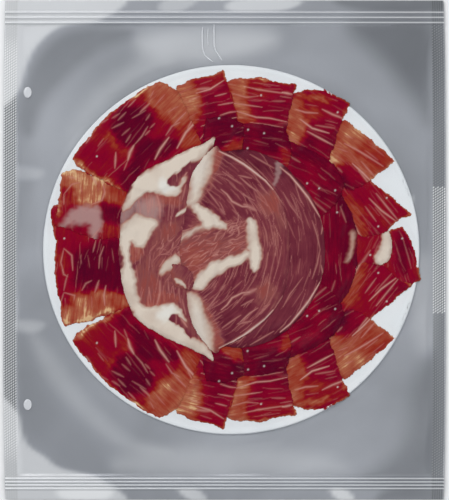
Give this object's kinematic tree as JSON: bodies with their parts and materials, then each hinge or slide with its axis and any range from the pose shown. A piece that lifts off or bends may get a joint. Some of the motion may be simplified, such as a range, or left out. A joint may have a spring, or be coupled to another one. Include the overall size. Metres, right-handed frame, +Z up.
{
  "type": "pack of iberico ham slices",
  "caption": "Flat vacuum pack of cured ham: thin marbled slices fanned on a round white plate, silver back, clear film front, sealed edges.",
  "frame": {"origin": "under the middle of the pouch, on its back face", "axes": "+Z up through the clear side, +Y along the long side towards the seal with three beads"},
  "size_m": [0.25, 0.282, 0.012],
  "materials": {
    "laminate": "satin metallised laminate, knurled and beaded at the seals",
    "plate": "smooth white board",
    "ham": "moist cured meat with pale fat marbling",
    "film": "clear glossy film"
  },
  "bodies": {
    "root": {"back_sheet": "laminate", "plate": "plate", "front_film": "film", "slice_curl": "ham", "slice_fan_1_bottom": "ham", "slice_fan_1_top": "ham", "slice_fan_2_bottom": "ham", "slice_fan_2_top": "ham", "slice_fan_3_bottom": "ham", "slice_fan_3_top": "ham", "slice_fan_4_bottom": "ham", "slice_fan_4_top": "ham", "slice_fan_left_bottom": "ham", "slice_fan_left_top": "ham", "slice_fan_top_bottom": "ham", "slice_fan_top_top": "ham", "slice_left_lower": "ham", "slice_left_upper": "ham", "slice_mid_0_bottom": "ham", "slice_mid_0_top": "ham", "slice_mid_1_bottom": "ham", "slice_mid_1_top": "ham", "slice_mid_2_bottom": "ham", "slice_mid_2_top": "ham", "slice_mid_right": "ham", "slice_right_tip": "ham", "slice_rose_left": "ham", "slice_rose_right": "ham", "slice_round": "ham", "slice_wedge": "ham"}
  },
  "joints": []
}
